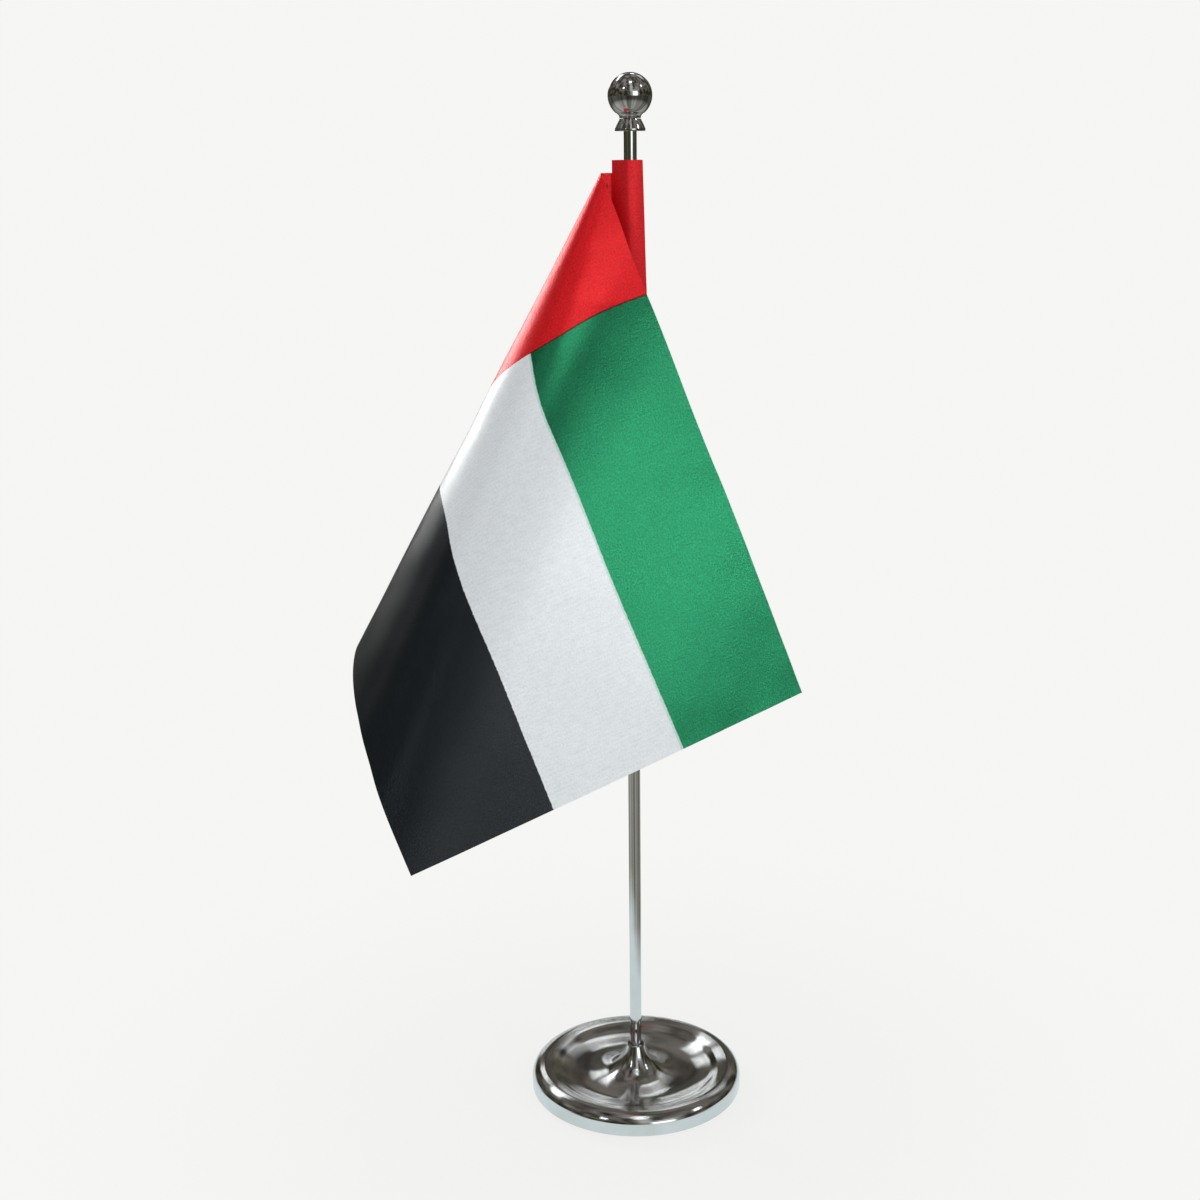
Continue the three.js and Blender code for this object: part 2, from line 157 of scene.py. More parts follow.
def catmull_rom(points, steps):
    """A smooth line through the points, steps to each span, as three.js draws its splines."""
    points = [Vector((p[0], p[1])) for p in points]
    line = []
    for index in range(len(points) - 1):
        p1, p2 = points[index], points[index + 1]
        p0 = points[max(index - 1, 0)]
        p3 = points[min(index + 2, len(points) - 1)]
        for step in range(steps):
            t = step / steps
            v0, v1 = (p2 - p0) * 0.5, (p3 - p1) * 0.5
            place = ((2 * p1 - 2 * p2 + v0 + v1) * t ** 3
                     + (-3 * p1 + 3 * p2 - 2 * v0 - v1) * t ** 2 + v0 * t + p1)
            line.append((place.x, place.y))
    line.append((points[-1].x, points[-1].y))
    return line


def arc(centre, radii, start, end, steps):
    angles = np.linspace(start, end, steps + 1)
    return [(centre[0] + radii[0] * math.cos(a), centre[1] + radii[1] * math.sin(a)) for a in angles]


def moved(line, distance):
    """The same line moved to the left of its direction of travel."""
    out = []
    for index, (radius, height) in enumerate(line):
        before, after = line[max(index - 1, 0)], line[min(index + 1, len(line) - 1)]
        run = (after[0] - before[0], after[1] - before[1])
        length = math.hypot(*run)
        out.append((radius - run[1] / length * distance, height + run[0] / length * distance))
    return out


def turned(name, outline, facets, closed=True, smooth_angle=40.0):
    """A solid of revolution about the pole's axis. An open outline starts and ends on the axis."""
    vertices, rings = [], []
    for radius, height in outline:
        if radius < 1e-7:
            rings.append([len(vertices)] * facets)
            vertices.append((0.0, 0.0, height))
            continue
        rings.append(list(range(len(vertices), len(vertices) + facets)))
        for facet in range(facets):
            angle = 2 * math.pi * facet / facets
            vertices.append((radius * math.cos(angle), radius * math.sin(angle), height))
    faces = []
    last = len(rings) if closed else len(rings) - 1
    for index in range(last):
        lower, upper = rings[index], rings[(index + 1) % len(rings)]
        for facet in range(facets):
            following = (facet + 1) % facets
            face = [lower[facet], lower[following], upper[following], upper[facet]]
            face = list(dict.fromkeys(face))
            if len(face) > 2:
                faces.append(face)
    return new_object(name, vertices, faces, smooth_angle)


# ---- Material helpers --------------------------------------------------------------------------
class Tree:
    """Short names for building a node tree."""

    def __init__(self, tree):
        self.tree = tree

    def node(self, kind, **settings):
        made = self.tree.nodes.new("ShaderNode" + kind)
        for name, value in settings.items():
            setattr(made, name, value)
        return made

    def link(self, source, target):
        self.tree.links.new(source, target)

    def put(self, socket, value):
        """Links the socket to another, or gives it a constant. None leaves it alone."""
        if isinstance(value, bpy.types.NodeSocket):
            self.link(value, socket)
        elif value is not None:
            socket.default_value = value

    def noise(self, scale, detail=3.0, roughness=0.5, vector=None, distortion=0.0):
        node = self.node("TexNoise")
        node.inputs["Scale"].default_value = scale
        node.inputs["Detail"].default_value = detail
        node.inputs["Roughness"].default_value = roughness
        node.inputs["Distortion"].default_value = distortion
        self.link(vector or self.coordinates.outputs["Object"], node.inputs["Vector"])
        return node.outputs["Fac"]

    def math(self, operation, first, second=None):
        node = self.node("Math", operation=operation)
        for socket, value in zip(node.inputs, (first, second)):
            self.put(socket, value)
        return node.outputs[0]

    def vector(self, operation, value, other=None):
        node = self.node("VectorMath", operation=operation)
        self.link(value, node.inputs[0])
        self.put(node.inputs[1], other)
        return node.outputs["Value" if operation in ("LENGTH", "DOT_PRODUCT") else "Vector"]

    def ranged(self, value, low, high, to_low, to_high, smooth=False):
        node = self.node("MapRange", interpolation_type="SMOOTHSTEP" if smooth else "LINEAR")
        for name, number in (("Value", value), ("From Min", low), ("From Max", high),
                             ("To Min", to_low), ("To Max", to_high)):
            self.put(node.inputs[name], number)
        return node.outputs["Result"]

    def spread(self, noise, to_low, to_high):
        """Stretches a noise over a range. Most of a noise lies between 0.3 and 0.7."""
        return self.ranged(noise, 0.3, 0.7, to_low, to_high)

    def mix(self, factor, first, second, blend="MIX"):
        node = self.node("Mix", data_type="RGBA", blend_type=blend)
        self.put(node.inputs["Factor"], factor)
        self.put(node.inputs[6], first)
        self.put(node.inputs[7], second)
        return node.outputs[2]

    def choose(self, switch, otherwise, when):
        """The second shader where the switch is 1, and the first where it is 0."""
        node = self.node("MixShader")
        for socket, value in zip(node.inputs, (switch, otherwise, when)):
            self.link(value, socket)
        return node.outputs[0]

    def glow(self, kind, value, strength=1.0):
        """An emitting shader: Emission on a piece, Background in the world."""
        node = self.node(kind)
        self.put(node.inputs["Color"], value)
        self.put(node.inputs["Strength"], strength)
        return node.outputs[0]


class Nodes(Tree):
    """The node tree of a new material, with its Principled shader."""

    def __init__(self, name):
        self.material = bpy.data.materials.new(name)
        self.material.use_nodes = True
        super().__init__(self.material.node_tree)
        self.shader = self.tree.nodes["Principled BSDF"]
        self.coordinates = self.node("TexCoord")

    def set(self, **sockets):
        for name, value in sockets.items():
            self.put(self.shader.inputs[name.replace("_", " ")], value)

    def split(self, vector):
        node = self.node("SeparateXYZ")
        self.link(vector, node.inputs[0])
        return node.outputs

    def bump(self, height, distance, strength=1.0, normal=None):
        node = self.node("Bump")
        node.inputs["Strength"].default_value = strength
        node.inputs["Distance"].default_value = distance
        self.link(height, node.inputs["Height"])
        self.put(node.inputs["Normal"], normal)
        return node.outputs["Normal"]


def colour(red, green, blue):
    """An sRGB colour from 0 to 255, as the linear colour that nodes use."""
    def linear(value):
        value /= 255
        return value / 12.92 if value <= 0.04045 else ((value + 0.055) / 1.055) ** 2.4
    return (linear(red), linear(green), linear(blue), 1.0)


# ---- Materials ---------------------------------------------------------------------------------
CHROME_LIGHT, CHROME_DARK = colour(226, 227, 228), colour(216, 215, 212)
CHROME_POLISH = 0.05                   # roughness where it is cleanest
CHROME_HAZE = 0.03                     # and what haze and finger marks add to it
CHROME_MARKS = 0.05
CHROME_RIPPLE = 0.00036
GROOVE_DEPTH = 0.00002


def chrome(name, grooved=False):
    """Bright plating: faint haze and finger marks, a slight ripple, and turning lines if asked for."""
    n = Nodes(name)
    haze = n.ranged(n.noise(55.0, 4.0, 0.6), 0.35, 0.7, CHROME_POLISH, CHROME_POLISH + CHROME_HAZE)
    marks = n.ranged(n.noise(420.0, 2.0, 0.6, distortion=0.6), 0.62, 0.80, 0.0, 1.0, smooth=True)
    tone = n.mix(n.spread(n.noise(90.0), 0.0, 1.0), CHROME_LIGHT, CHROME_DARK)
    normal = n.bump(n.noise(38.0, 2.0, 0.45), CHROME_RIPPLE, 0.5)
    if grooved:
        off_axis = n.vector("LENGTH", n.vector("MULTIPLY", n.coordinates.outputs["Object"], (1.0, 1.0, 0.0)))
        rings = n.math("SINE", n.math("MULTIPLY", off_axis, GROOVES))
        normal = n.bump(rings, GROOVE_DEPTH, 0.25, normal)
    n.set(Base_Color=tone, Metallic=1.0, Normal=normal,
          Roughness=n.math("ADD", haze, n.math("MULTIPLY", marks, CHROME_MARKS)))
    return n.material


def plain_metal(name, light, dark, rough, grain, grain_depth, metallic=1.0):
    """Brass, zinc plating or cast iron: two tones, a grain and uneven roughness."""
    n = Nodes(name)
    patches = n.ranged(n.noise(180.0, 4.0, 0.6), 0.35, 0.7, 0.0, 1.0)
    n.set(Base_Color=n.mix(patches, colour(*light), colour(*dark)), Metallic=metallic,
          Roughness=n.spread(n.noise(grain / 2), rough - 0.08, rough + 0.1),
          Normal=n.bump(n.noise(grain, 5.0, 0.65), grain_depth, 0.6))
    return n.material


def foam(name):
    """Closed-cell pad: matt black with small pores."""
    n = Nodes(name)
    cells = n.node("TexVoronoi")
    cells.inputs["Scale"].default_value = 1800.0
    n.link(n.coordinates.outputs["Object"], cells.inputs["Vector"])
    n.set(Base_Color=n.mix(n.spread(n.noise(120.0), 0.0, 1.0), colour(30, 30, 31), colour(44, 44, 46)),
          Roughness=n.spread(n.noise(300.0), 0.82, 0.97),
          Normal=n.bump(cells.outputs["Distance"], 0.00025, 0.7))
    return n.material


def rubber(name):
    """Dull black with a fine grain."""
    n = Nodes(name)
    n.set(Base_Color=n.mix(n.noise(200.0), colour(22, 22, 23), colour(40, 40, 42)),
          Roughness=n.spread(n.noise(900.0), 0.55, 0.75),
          Normal=n.bump(n.noise(2400.0), 0.00004, 0.6))
    return n.material


RIB_PITCH = 0.00145                    # between the ribs that show in the satin
YARN = 0.00032
# Changes of tone, and shares of the weave's height.
RIB_TONE, RIB_HEIGHT = 0.015, 0.02
# The grain's change of tone is partly the yarns' own grain and partly painted glitter, the sheen's sparkle
# put into the colour.
GRAIN_AND_GLITTER_TONE, GRAIN_HEIGHT = 0.17, 0.7
MOTTLE_TONE, YARN_HEIGHT = 0.04, 0.3
RIB_WANDER = 3.5                       # radians
WEAVE_DEPTH = 0.00018
SATIN_ROUGHNESS = (0.28, 0.40)

# The inks, each with its share of coloured gloss, of grain with its painted glitter, and of plain gloss.
RED_INK = (colour(238, 28, 36), 0.3, 1.1, 0.25)
GREEN_INK = (colour(46, 146, 102), 0.85, 1.2, 0.25)
WHITE_INK = (colour(244, 247, 249), 0.1, 0.35, 0.25)
BLACK_INK = (colour(18, 26, 32), 0.15, 1.0, 0.5)
SLEEVE_GLOSS = (0.3, 1.0, 0.25)
PRINT_WOBBLE = 0.00012                 # how far a printed edge strays
PRINT_BLUR = 0.00012                   # half the width over which two inks meet


def satin_finish(n, base, flat, coloured_gloss, grain_and_glitter_share, plain_gloss):
    """The sheen of satin: faint ribs, glittering yarns and a grain finer than a millimetre. The grain's tone
    in the colour is partly the yarns' own grain and partly painted glitter.
    """
    u, v, _ = n.split(flat)
    yarns = n.noise(1.0, 2.0, 0.6, vector=n.vector("MULTIPLY", flat, (0.7 / YARN, 0.35 / YARN, 1.0)))
    mottle = n.noise(1.0, 3.0, 0.6, vector=n.vector("MULTIPLY", flat, (420.0, 300.0, 1.0)))
    grain = n.noise(1500.0, 3.0, 0.75, vector=flat)
    wander = n.math("MULTIPLY", n.noise(260.0, 2.0, vector=flat), RIB_WANDER)
    ribs = n.math("SINE", n.math("ADD", n.math("MULTIPLY", u, 2 * math.pi / RIB_PITCH), wander))

    # Painted glitter: the grain lightens and darkens the colour, partly as the yarns' own grain and partly
    # as the sheen's sparkle.
    grain_and_glitter_tone = n.math("MULTIPLY", n.ranged(grain, 0.38, 0.62, -GRAIN_AND_GLITTER_TONE, GRAIN_AND_GLITTER_TONE), grain_and_glitter_share)
    broad_tone = n.math("ADD", n.math("MULTIPLY", ribs, RIB_TONE),
                        n.spread(mottle, -MOTTLE_TONE, MOTTLE_TONE))
    toned = n.node("HueSaturation")
    n.link(base, toned.inputs["Color"])
    n.link(n.math("ADD", n.math("ADD", grain_and_glitter_tone, broad_tone), 1.0), toned.inputs["Value"])

    fine = n.math("MULTIPLY", n.math("MULTIPLY", grain, GRAIN_HEIGHT), grain_and_glitter_share)
    weave = n.math("ADD", n.math("MULTIPLY", yarns, YARN_HEIGHT),
                   n.math("ADD", fine, n.math("MULTIPLY", ribs, RIB_HEIGHT)))
    n.set(Base_Color=toned.outputs["Color"], Normal=n.bump(weave, WEAVE_DEPTH, 0.6),
          Roughness=n.ranged(yarns, 0.25, 0.75, *SATIN_ROUGHNESS),
          Metallic=coloured_gloss, Specular_IOR_Level=plain_gloss)


def flag_material():
    """The printed bands, by their place on the flat cloth, with inks that meet a little unevenly."""
    n = Nodes("flag_satin")
    flat = n.coordinates.outputs["UV"]
    wobble = n.spread(n.noise(900.0, 3.0, 0.6, vector=flat), -PRINT_WOBBLE, PRINT_WOBBLE)
    u, v, _ = n.split(flat)

    def hump(along, height, place, width):
        reach = n.math("DIVIDE", n.math("SUBTRACT", along, place), width)
        bell = n.math("EXPONENT", n.math("MULTIPLY", n.math("POWER", reach, 2.0), -1.0))
        return n.math("MULTIPLY", bell, height)

    def off_edge(across, edge, along, bend):
        """How far a point is past a printed edge."""
        straight = n.math("SUBTRACT", across, edge)
        return n.math("ADD", n.math("SUBTRACT", straight, hump(along, *bend)), wobble)

    def past(distance):
        return n.ranged(distance, -PRINT_BLUR, PRINT_BLUR, 0.0, 1.0, smooth=True)

    def beside(distance, line, fade):
        return n.ranged(n.math("ABSOLUTE", distance), line, fade, 1.0, 0.0, smooth=True)

    past_start = n.math("MAXIMUM", n.math("SUBTRACT", u, DROOP[0]), 0.0)
    droop = n.math("MULTIPLY", n.math("POWER", past_start, 2.0), DROOP[1])
    off_red = off_edge(u, RED_EDGE, v, RED_SWELL)
    off_green = n.math("SUBTRACT", off_edge(v, GREEN_EDGE, u, GREEN_DIP), droop)
    off_white = off_edge(v, BLACK_EDGE, u, BLACK_DIP)

    def banded(red, green, white, black):
        stripes = n.mix(past(off_green), green, white)
        stripes = n.mix(past(off_white), stripes, black)
        return n.mix(past(off_red), red, stripes)

    bands, *shares = [banded(*[level if isinstance(level, tuple) else (level, level, level, 1.0)
                               for level in levels])
                      for levels in zip(RED_INK, GREEN_INK, WHITE_INK, BLACK_INK)]
    over_green = n.math("MULTIPLY", n.math("SUBTRACT", 1.0, past(off_green)), 0.8)
    dark_line = n.math("MULTIPLY", beside(off_red, 0.00012, 0.00045), over_green)
    bands = n.mix(dark_line, bands, colour(60, 14, 14))
    fringe = beside(n.math("SUBTRACT", off_green, 0.0004), 0.0002, 0.0007)
    pale_line = n.math("MULTIPLY", fringe, n.math("MULTIPLY", past(off_red), 0.45))
    bands = n.mix(pale_line, bands, colour(150, 214, 190))
    satin_finish(n, bands, flat, *shares)
    return n.material


def sleeve_material():
    n = Nodes("sleeve_satin")
    flat = n.coordinates.outputs["UV"]
    patches = n.spread(n.noise(60.0, 2.0, vector=flat), 0.0, 1.0)
    satin_finish(n, n.mix(patches, colour(238, 32, 40), colour(220, 32, 38)), flat, *SLEEVE_GLOSS)
    return n.material


def thread_material(name):
    n = Nodes(name)
    n.set(Base_Color=n.mix(n.noise(2500.0, 2.0), colour(168, 12, 20), colour(205, 34, 40)),
          Roughness=0.6, Sheen_Weight=0.3, Normal=n.bump(n.noise(6000.0, 2.0), 0.00002, 0.7))
    return n.material


# ---- Base --------------------------------------------------------------------------------------
def dress(piece, body, slot, material, *nodes):
    """Gives a new piece its material and its body, and hides the CAD nodes it stands for. The slot is not
    used.
    """
    piece.data.materials.clear()
    piece.data.materials.append(material)
    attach(piece, body)
    if nodes:
        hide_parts(*nodes)
    return piece


def base_shell():
    """The spun cover: one wall that follows the lip, the rim, the dish and the hub."""
    low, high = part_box("base_shell")
    radius = high.x
    hub_bore = HUB_TOP_RADIUS - SHELL_WALL
    crest = (radius - RIM_WIDTH, SIDE_WALL_TOP + RIM_HEIGHT)
    lip = arc((radius - LIP, low.z + LIP), (LIP, LIP), -math.pi / 2, 0.0, LIP_STEPS)
    rim = arc((crest[0], SIDE_WALL_TOP), (RIM_WIDTH, RIM_HEIGHT), 0.0, math.pi / 2, 18)
    dish = catmull_rom([crest, *DISH, (HUB_TOP_RADIUS, high.z - HUB_EDGE)], SPLINE_STEPS)
    outside = [*lip, *rim, *dish[1:]]
    inside = [point for point in moved(outside[LIP_STEPS:], SHELL_WALL) if point[0] > hub_bore]
    hub_top = [(HUB_TOP_RADIUS - HUB_EDGE, high.z), (hub_bore + HUB_EDGE / 2, high.z),
               (hub_bore, high.z - HUB_EDGE)]
    foot = (radius - SHELL_WALL, low.z)
    piece = turned("base_shell_chrome", [*outside, *hub_top, *reversed(inside[1:]), foot], facets=192)
    return dress(piece, "stand", "base_chrome", chrome("base_chrome", grooved=True), "base_shell")


def pole():
    """The rod, with a thread at each end and a bevelled shoulder beside it."""
    low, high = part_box("pole")
    radius = high.x
    foot, shoulder = low.z + FOOT_THREAD, high.z - TIP_THREAD
    relief = THREAD_RADIUS - RELIEF_DEPTH
    rod_steps = 40

    def threaded(start, end, steps_per_turn=6):
        """The thread's ridges along one end, as rings one pitch apart."""
        steps = int((end - start) / THREAD_PITCH * steps_per_turn)
        return [(THREAD_RADIUS - THREAD_DEPTH * (0.5 + 0.5 * math.cos(2 * math.pi * k / steps_per_turn)), z)
                for k, z in enumerate(np.linspace(start, end, steps + 1))]

    outline = [(0.0, low.z), (THREAD_RADIUS - POLE_BEVEL, low.z)]
    outline += threaded(low.z + POLE_BEVEL, foot - RELIEF_LENGTH)
    outline += [(relief, foot), (radius - POLE_BEVEL, foot), (radius, foot + POLE_BEVEL)]
    outline += [(radius, foot + (shoulder - foot) * k / rod_steps) for k in range(1, rod_steps)]
    outline += [(radius, shoulder - POLE_BEVEL), (radius - POLE_BEVEL, shoulder), (relief, shoulder)]
    outline += threaded(shoulder + RELIEF_LENGTH, high.z - POLE_BEVEL)
    outline += [(THREAD_RADIUS - POLE_BEVEL, high.z), (0.0, high.z)]
    piece = turned("pole_chrome_rod", outline, facets=64, closed=False)
    return dress(piece, "stand", "pole_chrome", chrome("pole_chrome"), "pole")


def stop_ring():
    low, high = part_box("stop_ring")
    wire = (high.z - low.z) / 2
    section = arc((high.x - wire, low.z + wire), (wire, wire), 0.0, 2 * math.pi, 28)[:-1]
    piece = turned("stop_ring_rubber", section, facets=96)
    return dress(piece, "stop", "ring_rubber", rubber("ring_rubber"), "stop_ring")


# ---- Finial ------------------------------------------------------------------------------------
def finial_ball():
    """A hollow ball on a short neck, open below."""
    low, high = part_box("finial_ball")
    radius = high.x
    centre = high.z - radius
    hollow = radius - BALL_WALL
    sphere = arc((0.0, centre), (radius, radius), NECK_START, math.pi / 2, 56)
    cavity = arc((0.0, centre), (hollow, hollow), math.pi / 2, -math.acos(BALL_MOUTH / hollow), 32)
    sphere[-1], cavity[0] = (0.0, high.z), (0.0, centre + hollow)
    drawn = [(r, low.z + rise) for r, rise in [(NECK_RADIUS, 0.0), *NECK_CURVE]]
    neck = catmull_rom([*drawn, sphere[0]], SPLINE_STEPS)
    outline = [(NECK_RADIUS - BALL_EDGE, low.z), (NECK_RADIUS, low.z + BALL_EDGE), *neck[2:], *sphere[1:],
               *cavity, (BALL_MOUTH, low.z + BALL_EDGE), (BALL_MOUTH + BALL_EDGE, low.z)]
    piece = turned("finial_ball_chrome", outline, facets=128)
    return dress(piece, "finial", "ball_chrome", chrome("ball_chrome"), "finial_ball")


def finial_collar():
    """The bell-shaped collar: a wide bore round the bush's lip and a narrow one round its waist."""
    low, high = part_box("finial_collar")
    lip = high.x
    drawn = [(r, low.z + rise) for r, rise in [(lip, COLLAR_LIP), *COLLAR_CURVE]]
    flare = catmull_rom([*drawn, (NECK_RADIUS, high.z)], SPLINE_STEPS)
    foot_edge = [(lip - 0.0002, low.z), (lip - 0.00006, low.z + 0.00006), (lip, low.z + 0.0002)]
    top_edge = [(NECK_RADIUS, high.z - 0.00008), (NECK_RADIUS - 0.0001, high.z)]
    step = low.z + COLLAR_STEP
    outline = [(COLLAR_BORE, low.z), *foot_edge, *flare[:-1], *top_edge, (COLLAR_NECK_BORE, high.z),
               (COLLAR_NECK_BORE, step), (COLLAR_BORE, step)]
    piece = turned("finial_collar_chrome", outline, facets=128)
    return dress(piece, "collar", "collar_chrome", chrome("collar_chrome"), "finial_collar")


# ---- Flag --------------------------------------------------------------------------------------
def bending(angle):
    total = 0.0 if angle < BENDS[0][0] else BOW
    for at, width, turn in BENDS:
        total += turn / (width * math.sqrt(math.pi)) * math.exp(-((angle - at) / width) ** 2)
    return total


def ruling_table():
    """Directions of the rulings and the cloth's normals, for equal steps of the ruling angle."""
    step = CURVE_END / CURVE_STEPS
    along = Vector((0.0, 0.0, -1.0))
    across = Vector((-math.cos(HEADING), math.sin(HEADING), 0.0))
    directions, normals = [], []
    for index in range(CURVE_STEPS + 1):
        normal = along.cross(across)
        directions.append(tuple(along))
        normals.append(tuple(normal))
        turn = bending((index + 0.5) * step) * step
        swung = across * math.cos(turn) + normal * math.sin(turn)
        along, across = (along * math.cos(step) + swung * math.sin(step),
                         swung * math.cos(step) - along * math.sin(step))
        along.normalize()
        across.normalize()
    return np.array(directions), np.array(normals)


DIRECTIONS, NORMALS = ruling_table()
TABLE_ANGLES = np.linspace(0.0, CURVE_END, CURVE_STEPS + 1)
OUT_FROM_SEAM = np.array((-math.cos(HEADING), math.sin(HEADING), 0.0))


def from_apex(u, v):
    """Place from the apex, and normal, of flat points. Before the apex's own ruling it is a plane."""
    u, v = np.asarray(u, float) - APEX_U, np.asarray(v, float) - APEX_V
    ahead = np.maximum(u, 0.0)
    angle, reach = np.arctan2(ahead, v), np.hypot(ahead, v)

    def at_angle(table):
        return np.stack([np.interp(angle, TABLE_ANGLES, table[:, k]) for k in range(3)], -1)

    behind = np.minimum(u, 0.0)[..., None] * OUT_FROM_SEAM
    return at_angle(DIRECTIONS) * reach[..., None] + behind, at_angle(NORMALS)


APEX = np.array(SEAM_TOP) - from_apex(0.0, 0.0)[0]

# Waves per metre along the fly and down the hoist, phase and share of each.
CREASES = [(9, 14, 0.4, 0.5), (16, -11, 2.1, 0.35), (27, 19, 4.0, 0.22), (-33, 41, 1.2, 0.14),
           (52, 23, 5.3, 0.08), (61, -47, 0.9, 0.06)]
CREASE_HEIGHT = 0.00016
FLUTTER = [(0, 24, 0.8, 0.6), (0, 43, 3.2, 0.35), (24, 0, 1.9, 0.5), (47, 0, 4.4, 0.3)]
FLUTTER_HEIGHT = 0.00014
FLUTTER_REACH = 0.012                  # in from the fly and lower edges
TOP_FLUTTER_REACH = 0.010
CALM_SEAM, CALM_CORNER = 0.03, 0.05    # the cloth lies smooth this near the seam and its top corner


def waves(u, v, seeds):
    """A sum of long waves over the flat cloth, from -1 to 1 or so."""
    return sum(share * np.sin(2 * math.pi * (u * along + v * down) + phase)
               for along, down, phase, share in seeds)


def unevenness(u, v):
    """How far the cloth stands off its smooth shape, in metres."""
    clear_of_seam = np.clip(u / CALM_SEAM, 0, 1) ** 2
    clear_of_corner = np.clip(np.hypot(u, v) / CALM_CORNER, 0, 1) ** 2
    free_edge = (np.exp(-(FLY - u) / FLUTTER_REACH) + np.exp(-(HOIST - v) / FLUTTER_REACH)
                 + np.exp(-v / TOP_FLUTTER_REACH))
    from_ridge = (u - RIDGE_START) * math.cos(RIDGE_ANGLE) - v * math.sin(RIDGE_ANGLE)
    folds = sum(height * np.exp(-((from_ridge - at) / width) ** 2) for at, width, height in FOLDS)
    dents = CREASE_HEIGHT * waves(u, v, CREASES)
    edges = FLUTTER_HEIGHT * waves(u, v, FLUTTER) * np.clip(free_edge, 0, 1)
    return (dents + edges - folds) * clear_of_seam * clear_of_corner


def hung(u, v, offset=0.0):
    place, normal = from_apex(u, v)
    return place + APEX + normal * (unevenness(u, v) + offset)[..., None]


def graded(start, middle, end, fine, coarse):
    """Steps of one size up to the middle and of another after it."""
    return np.concatenate([np.linspace(start, middle, round((middle - start) / fine), endpoint=False),
                           np.linspace(middle, end, round((end - middle) / coarse) + 1)])


def flag_cloth():
    """Two faces of a fine grid over the flat cloth, joined round the edge."""
    u, v = np.meshgrid(graded(-TUCK, 0.045, FLY, 0.0005, 0.00105),
                       graded(0.0, 0.040, HOIST, 0.0005, 0.00105), indexing="ij")
    rows, columns = u.shape
    sheets = [hung(u, v, np.full_like(u, side * CLOTH / 2)) for side in (1.0, -1.0)]
    vertices = np.concatenate([sheet.reshape(-1, 3) for sheet in sheets])
    flat = np.tile(np.stack([u, v], -1).reshape(-1, 2), (2, 1))
    front = np.arange(rows * columns).reshape(rows, columns)
    back = front + rows * columns
    quads = [np.stack([front[:-1, :-1], front[:-1, 1:], front[1:, 1:], front[1:, :-1]], -1),
             np.stack([back[:-1, :-1], back[1:, :-1], back[1:, 1:], back[:-1, 1:]], -1)]
    rim = [(front[0, 1:], front[0, :-1], back[0, :-1], back[0, 1:]),
           (front[-1, :-1], front[-1, 1:], back[-1, 1:], back[-1, :-1]),
           (front[:-1, 0], front[1:, 0], back[1:, 0], back[:-1, 0]),
           (front[1:, -1], front[:-1, -1], back[:-1, -1], back[1:, -1])]
    quads += [np.stack(side, -1) for side in rim]
    faces = np.concatenate([quad.reshape(-1, 4) for quad in quads])
    piece = new_object("flag_satin_sheet", vertices, faces.tolist(), 60.0, flat)
    return dress(piece, "flag", "flag_satin", flag_material(), "flag_cloth")


def hoist_sleeve():
    """The flattened tube of cloth round the pole: creased at its two sides, proud over the pole."""
    low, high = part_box("hoist_sleeve")
    half_depth = high.y - SLEEVE_CLOTH
    pole_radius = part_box("pole")[1].x
    left, right = low.x + SLEEVE_CLOTH - SLEEVE_REACH, high.x - SLEEVE_CLOTH
    middle, half_width = (left + right) / 2, (right - left) / 2
    around, up = 96, 220
    heights = np.linspace(low.z, high.z, up + 1)
    angles = np.linspace(0, 2 * math.pi, around, endpoint=False)

    def shifted(t, across):
        """How far a point is moved sideways, t of the way up the tube."""
        sway = sum(size * math.sin(rate * t + phase) for size, rate, phase in SLEEVE_SWAYS)
        return sway * (1 - 0.7 * t) + SLEEVE_LEAN * min((1 - t) / 0.3, 1.0) * (0.5 + 0.5 * across)

    def depth(t, x, across, deep, inset):
        """Over the pole the tube is as deep as the pole needs; it thins to its two creases."""
        lens = (1 - abs(across) ** 1.6) ** 0.85
        pinch = 1.0 + SLEEVE_PINCH * math.sin(9.0 * t * math.pi + 2.0 * across + (0 if deep > 0 else 1.3))
        y = math.copysign(max(half_depth * lens * pinch, SLEEVE_CREASE) - inset, deep)
        y = y if abs(across) < 0.9995 else 0.0
        if abs(x) < pole_radius:
            least = math.sqrt(pole_radius ** 2 - x * x) + SLEEVE_GAP
            y = math.copysign(max(abs(y), least), deep)
        return y

    vertices, flat, faces = [], [], []
    for inset in (0.0, SLEEVE_CLOTH):
        for z in heights:
            t = (z - low.z) / (high.z - low.z)
            for angle in angles:
                across, deep = math.cos(angle), math.sin(angle)
                x = middle + (half_width - inset) * across
                vertices.append((x + shifted(t, across), depth(t, x, across, deep, inset), z))
                flat.append((z, (angle / (2 * math.pi)) * SLEEVE_ROUND))
    ring = len(heights) * around

    def number(layer, row, index):
        return layer * ring + row * around + index % around

    for row in range(up):
        for index in range(around):
            faces.append([number(0, row, index), number(0, row, index + 1),
                          number(0, row + 1, index + 1), number(0, row + 1, index)])
            faces.append([number(1, row, index), number(1, row + 1, index),
                          number(1, row + 1, index + 1), number(1, row, index + 1)])
    for index in range(around):
        faces.append([number(0, 0, index), number(1, 0, index), number(1, 0, index + 1),
                      number(0, 0, index + 1)])
        faces.append([number(0, up, index), number(0, up, index + 1), number(1, up, index + 1),
                      number(1, up, index)])
    piece = new_object("hoist_sleeve_satin", vertices, faces, 70.0, flat)
    return dress(piece, "flag", "sleeve_satin", sleeve_material(), "hoist_sleeve")


